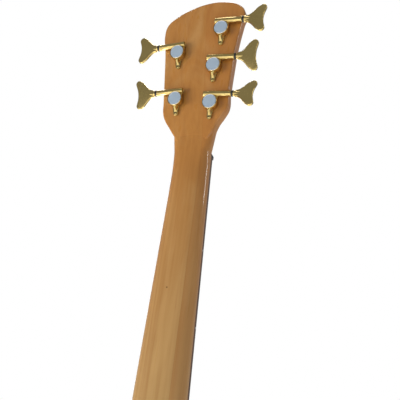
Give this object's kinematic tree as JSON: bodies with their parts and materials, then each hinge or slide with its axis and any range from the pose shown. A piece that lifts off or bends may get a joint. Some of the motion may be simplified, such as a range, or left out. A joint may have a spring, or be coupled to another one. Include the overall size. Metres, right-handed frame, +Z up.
{
  "type": "electric bass guitar",
  "caption": "Electric bass guitar with an angled headstock, geared fishtail tuners, wound strings, pickups and sliding bridge saddles.",
  "frame": {"origin": "middle of the nut, where the neck's glue plane meets the front plane of the headstock, which is also the seat on a wall hanger", "axes": "+Z up the neck to the headstock, front to -Y, back to +Y, bass side at -X"},
  "size_m": [0.358, 0.0707, 1.1471],
  "materials": {
    "amber_maple": "gloss lacquer",
    "dark_rosewood": "oiled",
    "gold_plate": "polished",
    "polished_disc": "mirror",
    "plain_steel": "plain",
    "wound_nickel": "wound",
    "black_plastic": "satin"
  },
  "bodies": {
    "instrument": {"body": "amber_maple", "bridge_plate": "gold_plate", "control_cover": "black_plastic", "fingerboard": "dark_rosewood", "jack_socket": "gold_plate", "neck": "amber_maple", "neck_plate": "gold_plate", "nut": "black_plastic", "pickup_bridge": "black_plastic", "pickup_neck": "black_plastic", "potentiometer_blend": "plain_steel", "potentiometer_tone": "plain_steel", "potentiometer_volume": "plain_steel", "strap_button_horn": "gold_plate", "strap_button_tail": "gold_plate", "string_a": "wound_nickel", "string_b": "wound_nickel", "string_d": "wound_nickel", "string_e": "wound_nickel", "string_g": "wound_nickel", "truss_rod_cover": "black_plastic", "tuner_a_bushing": "gold_plate", "tuner_a_cover_disc": "polished_disc", "tuner_a_housing": "gold_plate", "tuner_b_bushing": "gold_plate", "tuner_b_cover_disc": "polished_disc", "tuner_b_housing": "gold_plate", "tuner_d_bushing": "gold_plate", "tuner_d_cover_disc": "polished_disc", "tuner_d_housing": "gold_plate", "tuner_e_bushing": "gold_plate", "tuner_e_cover_disc": "polished_disc", "tuner_e_housing": "gold_plate", "tuner_g_bushing": "gold_plate", "tuner_g_cover_disc": "polished_disc", "tuner_g_housing": "gold_plate"},
    "key_b": {"tuner_b_key": "gold_plate", "tuner_b_washer": "black_plastic"},
    "post_b": {"tuner_b_post": "gold_plate"},
    "key_e": {"tuner_e_key": "gold_plate", "tuner_e_washer": "black_plastic"},
    "post_e": {"tuner_e_post": "gold_plate"},
    "key_a": {"tuner_a_key": "gold_plate", "tuner_a_washer": "black_plastic"},
    "post_a": {"tuner_a_post": "gold_plate"},
    "key_d": {"tuner_d_key": "gold_plate", "tuner_d_washer": "black_plastic"},
    "post_d": {"tuner_d_post": "gold_plate"},
    "key_g": {"tuner_g_key": "gold_plate", "tuner_g_washer": "black_plastic"},
    "post_g": {"tuner_g_post": "gold_plate"},
    "saddle_b": {"saddle_b": "gold_plate"},
    "saddle_e": {"saddle_e": "gold_plate"},
    "saddle_a": {"saddle_a": "gold_plate"},
    "saddle_d": {"saddle_d": "gold_plate"},
    "saddle_g": {"saddle_g": "gold_plate"},
    "knob_volume": {"knob_volume": "gold_plate"},
    "knob_blend": {"knob_blend": "gold_plate"},
    "knob_tone": {"knob_tone": "gold_plate"},
    "truss_rod": {"truss_rod": "plain_steel"}
  },
  "joints": [
    {"name": "key_b_turn", "type": "hinge", "parent": "instrument", "child": "key_b", "pos_m": [-0.02605, 0.0341, 0.06104], "axis": [-0.9945, -0.0235, -0.1018], "continuous": true},
    {"name": "post_b_turn", "type": "hinge", "parent": "instrument", "child": "post_b", "pos_m": [-0.025, 0.027, 0.05247], "axis": [0, 0.9744, -0.225], "continuous": true},
    {"name": "key_e_turn", "type": "hinge", "parent": "instrument", "child": "key_e", "pos_m": [-0.02885, 0.04468, 0.10683], "axis": [-0.9945, -0.0235, -0.1018], "continuous": true},
    {"name": "post_e_turn", "type": "hinge", "parent": "instrument", "child": "post_e", "pos_m": [-0.0278, 0.03757, 0.09827], "axis": [0, 0.9744, -0.225], "continuous": true},
    {"name": "key_a_turn", "type": "hinge", "parent": "instrument", "child": "key_a", "pos_m": [-0.03735, 0.05534, 0.15302], "axis": [-0.9945, -0.0235, -0.1018], "continuous": true},
    {"name": "post_a_turn", "type": "hinge", "parent": "instrument", "child": "post_a", "pos_m": [-0.0363, 0.04823, 0.14445], "axis": [0, 0.9744, -0.225], "continuous": true},
    {"name": "key_d_turn", "type": "hinge", "parent": "instrument", "child": "key_d", "pos_m": [0.01973, 0.05013, 0.13046], "axis": [0.9998, 0.0039, 0.017], "continuous": true},
    {"name": "post_d_turn", "type": "hinge", "parent": "instrument", "child": "post_d", "pos_m": [0.0199, 0.04301, 0.12185], "axis": [0, 0.9744, -0.225], "continuous": true},
    {"name": "key_g_turn", "type": "hinge", "parent": "instrument", "child": "key_g", "pos_m": [0.01963, 0.03619, 0.07005], "axis": [0.9998, 0.0039, 0.017], "continuous": true},
    {"name": "post_g_turn", "type": "hinge", "parent": "instrument", "child": "post_g", "pos_m": [0.0198, 0.02907, 0.06144], "axis": [0, 0.9744, -0.225], "continuous": true},
    {"name": "saddle_b_slide", "type": "slide", "parent": "instrument", "child": "saddle_b", "axis": [0, 0, 1], "range_m": [-0.004, 0.004]},
    {"name": "saddle_e_slide", "type": "slide", "parent": "instrument", "child": "saddle_e", "axis": [0, 0, 1], "range_m": [-0.004, 0.004]},
    {"name": "saddle_a_slide", "type": "slide", "parent": "instrument", "child": "saddle_a", "axis": [0, 0, 1], "range_m": [-0.004, 0.004]},
    {"name": "saddle_d_slide", "type": "slide", "parent": "instrument", "child": "saddle_d", "axis": [0, 0, 1], "range_m": [-0.004, 0.004]},
    {"name": "saddle_g_slide", "type": "slide", "parent": "instrument", "child": "saddle_g", "axis": [0, 0, 1], "range_m": [-0.004, 0.004]},
    {"name": "knob_volume_turn", "type": "hinge", "parent": "instrument", "child": "knob_volume", "pos_m": [0.086, 0.007, -0.7665], "axis": [0, -1, 0], "range_deg": [-150, 150]},
    {"name": "knob_blend_turn", "type": "hinge", "parent": "instrument", "child": "knob_blend", "pos_m": [0.111, 0.007, -0.8115], "axis": [0, -1, 0], "range_deg": [-150, 150]},
    {"name": "knob_tone_turn", "type": "hinge", "parent": "instrument", "child": "knob_tone", "pos_m": [0.136, 0.007, -0.8565], "axis": [0, -1, 0], "range_deg": [-150, 150]},
    {"name": "truss_rod_turn", "type": "hinge", "parent": "instrument", "child": "truss_rod", "pos_m": [0, 0.005, 0], "axis": [0, 0, 1], "range_deg": [-180, 180]}
  ],
  "couplings": [
    {"joint": "post_b_turn", "follows": "key_b_turn", "ratio": 0.05},
    {"joint": "post_e_turn", "follows": "key_e_turn", "ratio": 0.05},
    {"joint": "post_a_turn", "follows": "key_a_turn", "ratio": 0.05},
    {"joint": "post_d_turn", "follows": "key_d_turn", "ratio": 0.05},
    {"joint": "post_g_turn", "follows": "key_g_turn", "ratio": 0.05}
  ]
}
